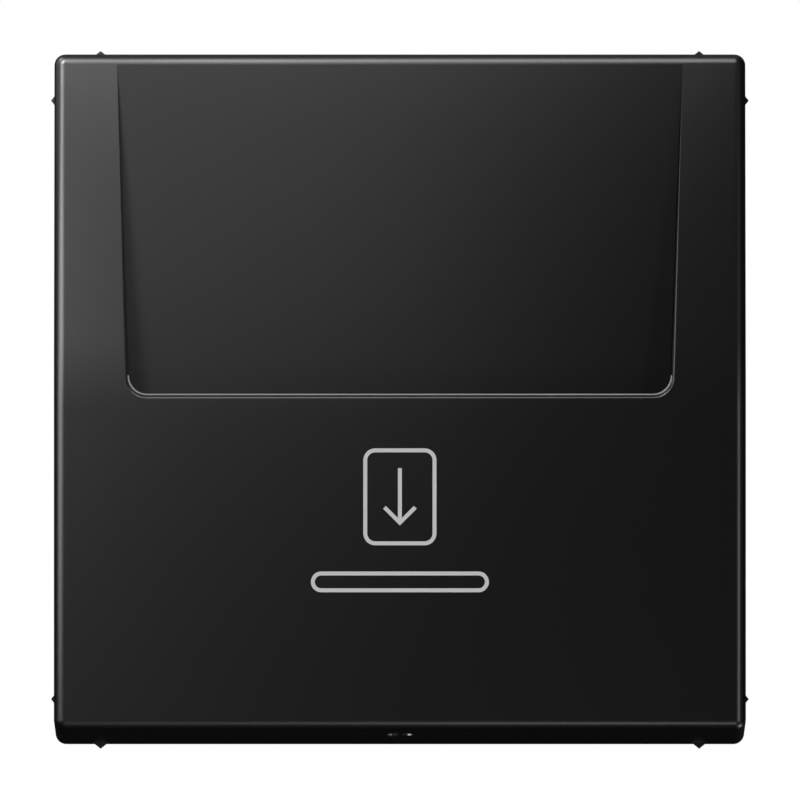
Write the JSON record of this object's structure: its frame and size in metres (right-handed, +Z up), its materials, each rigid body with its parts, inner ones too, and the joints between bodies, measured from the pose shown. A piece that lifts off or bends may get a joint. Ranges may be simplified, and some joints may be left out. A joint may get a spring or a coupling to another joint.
{
  "type": "hotel key card switch",
  "caption": "Square black wall switch cover with a sloped ramp into a card slot; an inserted card swings a lever that presses the plunger of a flush push switch behind it.",
  "frame": {"origin": "centre of the box screw pattern on the wall plane, which is the rear face of the support ring", "axes": "+X right as seen by the user, +Y into the wall, +Z up; the cover faces -Y"},
  "size_m": [0.071, 0.0374, 0.071],
  "materials": {
    "black_cover": "satin moulded, neutral black",
    "dark_plastic": "moulded, fine texture",
    "white_plastic": "moulded, off-white",
    "grey_plastic": "moulded, mid grey",
    "steel": "zinc plated sheet",
    "zinc_screw": "zinc plated",
    "spring_steel": "bright drawn",
    "brass": "stamped",
    "silver": "silver contact rivet"
  },
  "bodies": {
    "fixed_parts": {"front_cover": "black_cover", "locking_screw": "zinc_screw", "card_guide": "dark_plastic", "guide_screws": "zinc_screw", "base_plate": "dark_plastic", "base_plate_screws": "zinc_screw", "lever_pin": "steel", "support_ring": "steel", "ring_rivets": "steel", "insert_housing": "white_plastic", "insert_lid": "grey_plastic", "housing_back": "white_plastic", "back_screws": "zinc_screw", "return_spring": "spring_steel", "line_busbar": "brass", "load_busbar": "brass", "fixed_contacts": "silver", "left_clamp_spring": "spring_steel", "right_clamp_spring": "spring_steel"},
    "lever": {"card_lever": "white_plastic"},
    "plunger": {"plunger": "white_plastic", "contact_bridge": "brass", "bridge_contacts": "silver", "contact_spring": "spring_steel", "bridge_clip": "spring_steel"},
    "left_button": {"left_release_button": "grey_plastic"},
    "right_button": {"right_release_button": "grey_plastic"}
  },
  "joints": [
    {"name": "card_lever_pivot", "type": "hinge", "parent": "fixed_parts", "child": "lever", "pos_m": [0, -0.0046, 0.01], "axis": [1, 0, 0], "range_deg": [0, 5.1]},
    {"name": "plunger_slide", "type": "slide", "parent": "fixed_parts", "child": "plunger", "axis": [0, 1, 0], "range_m": [0, 0.0016], "stiffness_N_per_m": 400, "springref_m": -0.004, "deforming": ["return_spring"]},
    {"name": "left_release_slide", "type": "slide", "parent": "fixed_parts", "child": "left_button", "axis": [0, -1, 0], "range_m": [0, 0.0012], "stiffness_N_per_m": 300, "springref_m": -0.002, "deforming": ["left_clamp_spring"]},
    {"name": "right_release_slide", "type": "slide", "parent": "fixed_parts", "child": "right_button", "axis": [0, -1, 0], "range_m": [0, 0.0012], "stiffness_N_per_m": 300, "springref_m": -0.002, "deforming": ["right_clamp_spring"]}
  ],
  "couplings": [
    {"joint": "card_lever_pivot", "follows": "plunger_slide", "rad_per_m": 55.556}
  ]
}
